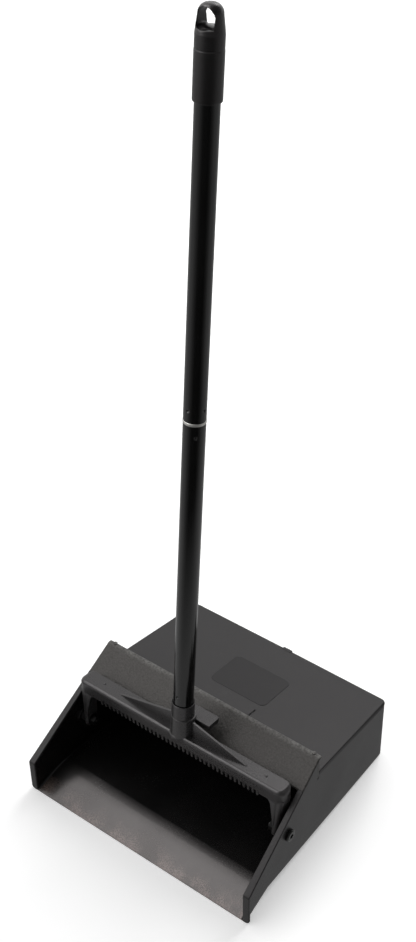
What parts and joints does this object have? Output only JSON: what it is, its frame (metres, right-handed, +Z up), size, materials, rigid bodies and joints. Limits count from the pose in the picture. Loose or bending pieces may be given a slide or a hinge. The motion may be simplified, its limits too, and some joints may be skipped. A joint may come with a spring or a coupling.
{
  "type": "lobby dustpan",
  "caption": "Upright lobby dustpan: lidded floor pan with a sloping mouth, a swinging yoke with a bristle comb, and a long tubular handle ending in a hanging cap",
  "frame": {"origin": "on the floor under the middle of the pan's outline", "axes": "+X to the right along the lip seen from the front, +Y from the lip to the rear, +Z up along the standing handle"},
  "size_m": [0.305, 0.282, 0.8779],
  "materials": {
    "pan_plastic": "satin moulded charcoal plastic",
    "panel_plastic": "grained charcoal plastic",
    "lid_plastic": "smooth charcoal plastic",
    "label_film": "plain black film",
    "screw_steel": "blackened steel",
    "spacer_plastic": "black plastic sleeve",
    "washer_steel": "zinc plated steel",
    "yoke_plastic": "satin moulded grey plastic",
    "plug_plastic": "moulded plug",
    "tube_metal": "gloss black coated tube",
    "ring_metal": "bright turned ring",
    "cap_plastic": "matt black plastic"
  },
  "bodies": {
    "pan": {"pan_shell": "pan_plastic", "front_panel": "panel_plastic", "lid": "lid_plastic", "label_plate": "label_film", "pivot_screw_left": "screw_steel", "pivot_screw_right": "screw_steel", "pivot_spacer_left": "spacer_plastic", "pivot_spacer_right": "spacer_plastic", "pivot_washer_left": "washer_steel", "pivot_washer_right": "washer_steel", "pivot_nut_left": "washer_steel", "pivot_nut_right": "washer_steel"},
    "handle": {"yoke": "yoke_plastic", "base_plug": "plug_plastic", "lower_tube": "tube_metal", "joint_socket": "plug_plastic", "joint_stud": "plug_plastic", "joint_ring": "ring_metal", "upper_tube": "tube_metal", "hanger_cap": "cap_plastic"}
  },
  "joints": [
    {"name": "yoke_swing", "type": "hinge", "parent": "pan", "child": "handle", "pos_m": [0, -0.0606, 0.0578], "axis": [1, 0, 0], "range_deg": [0, 90]}
  ]
}
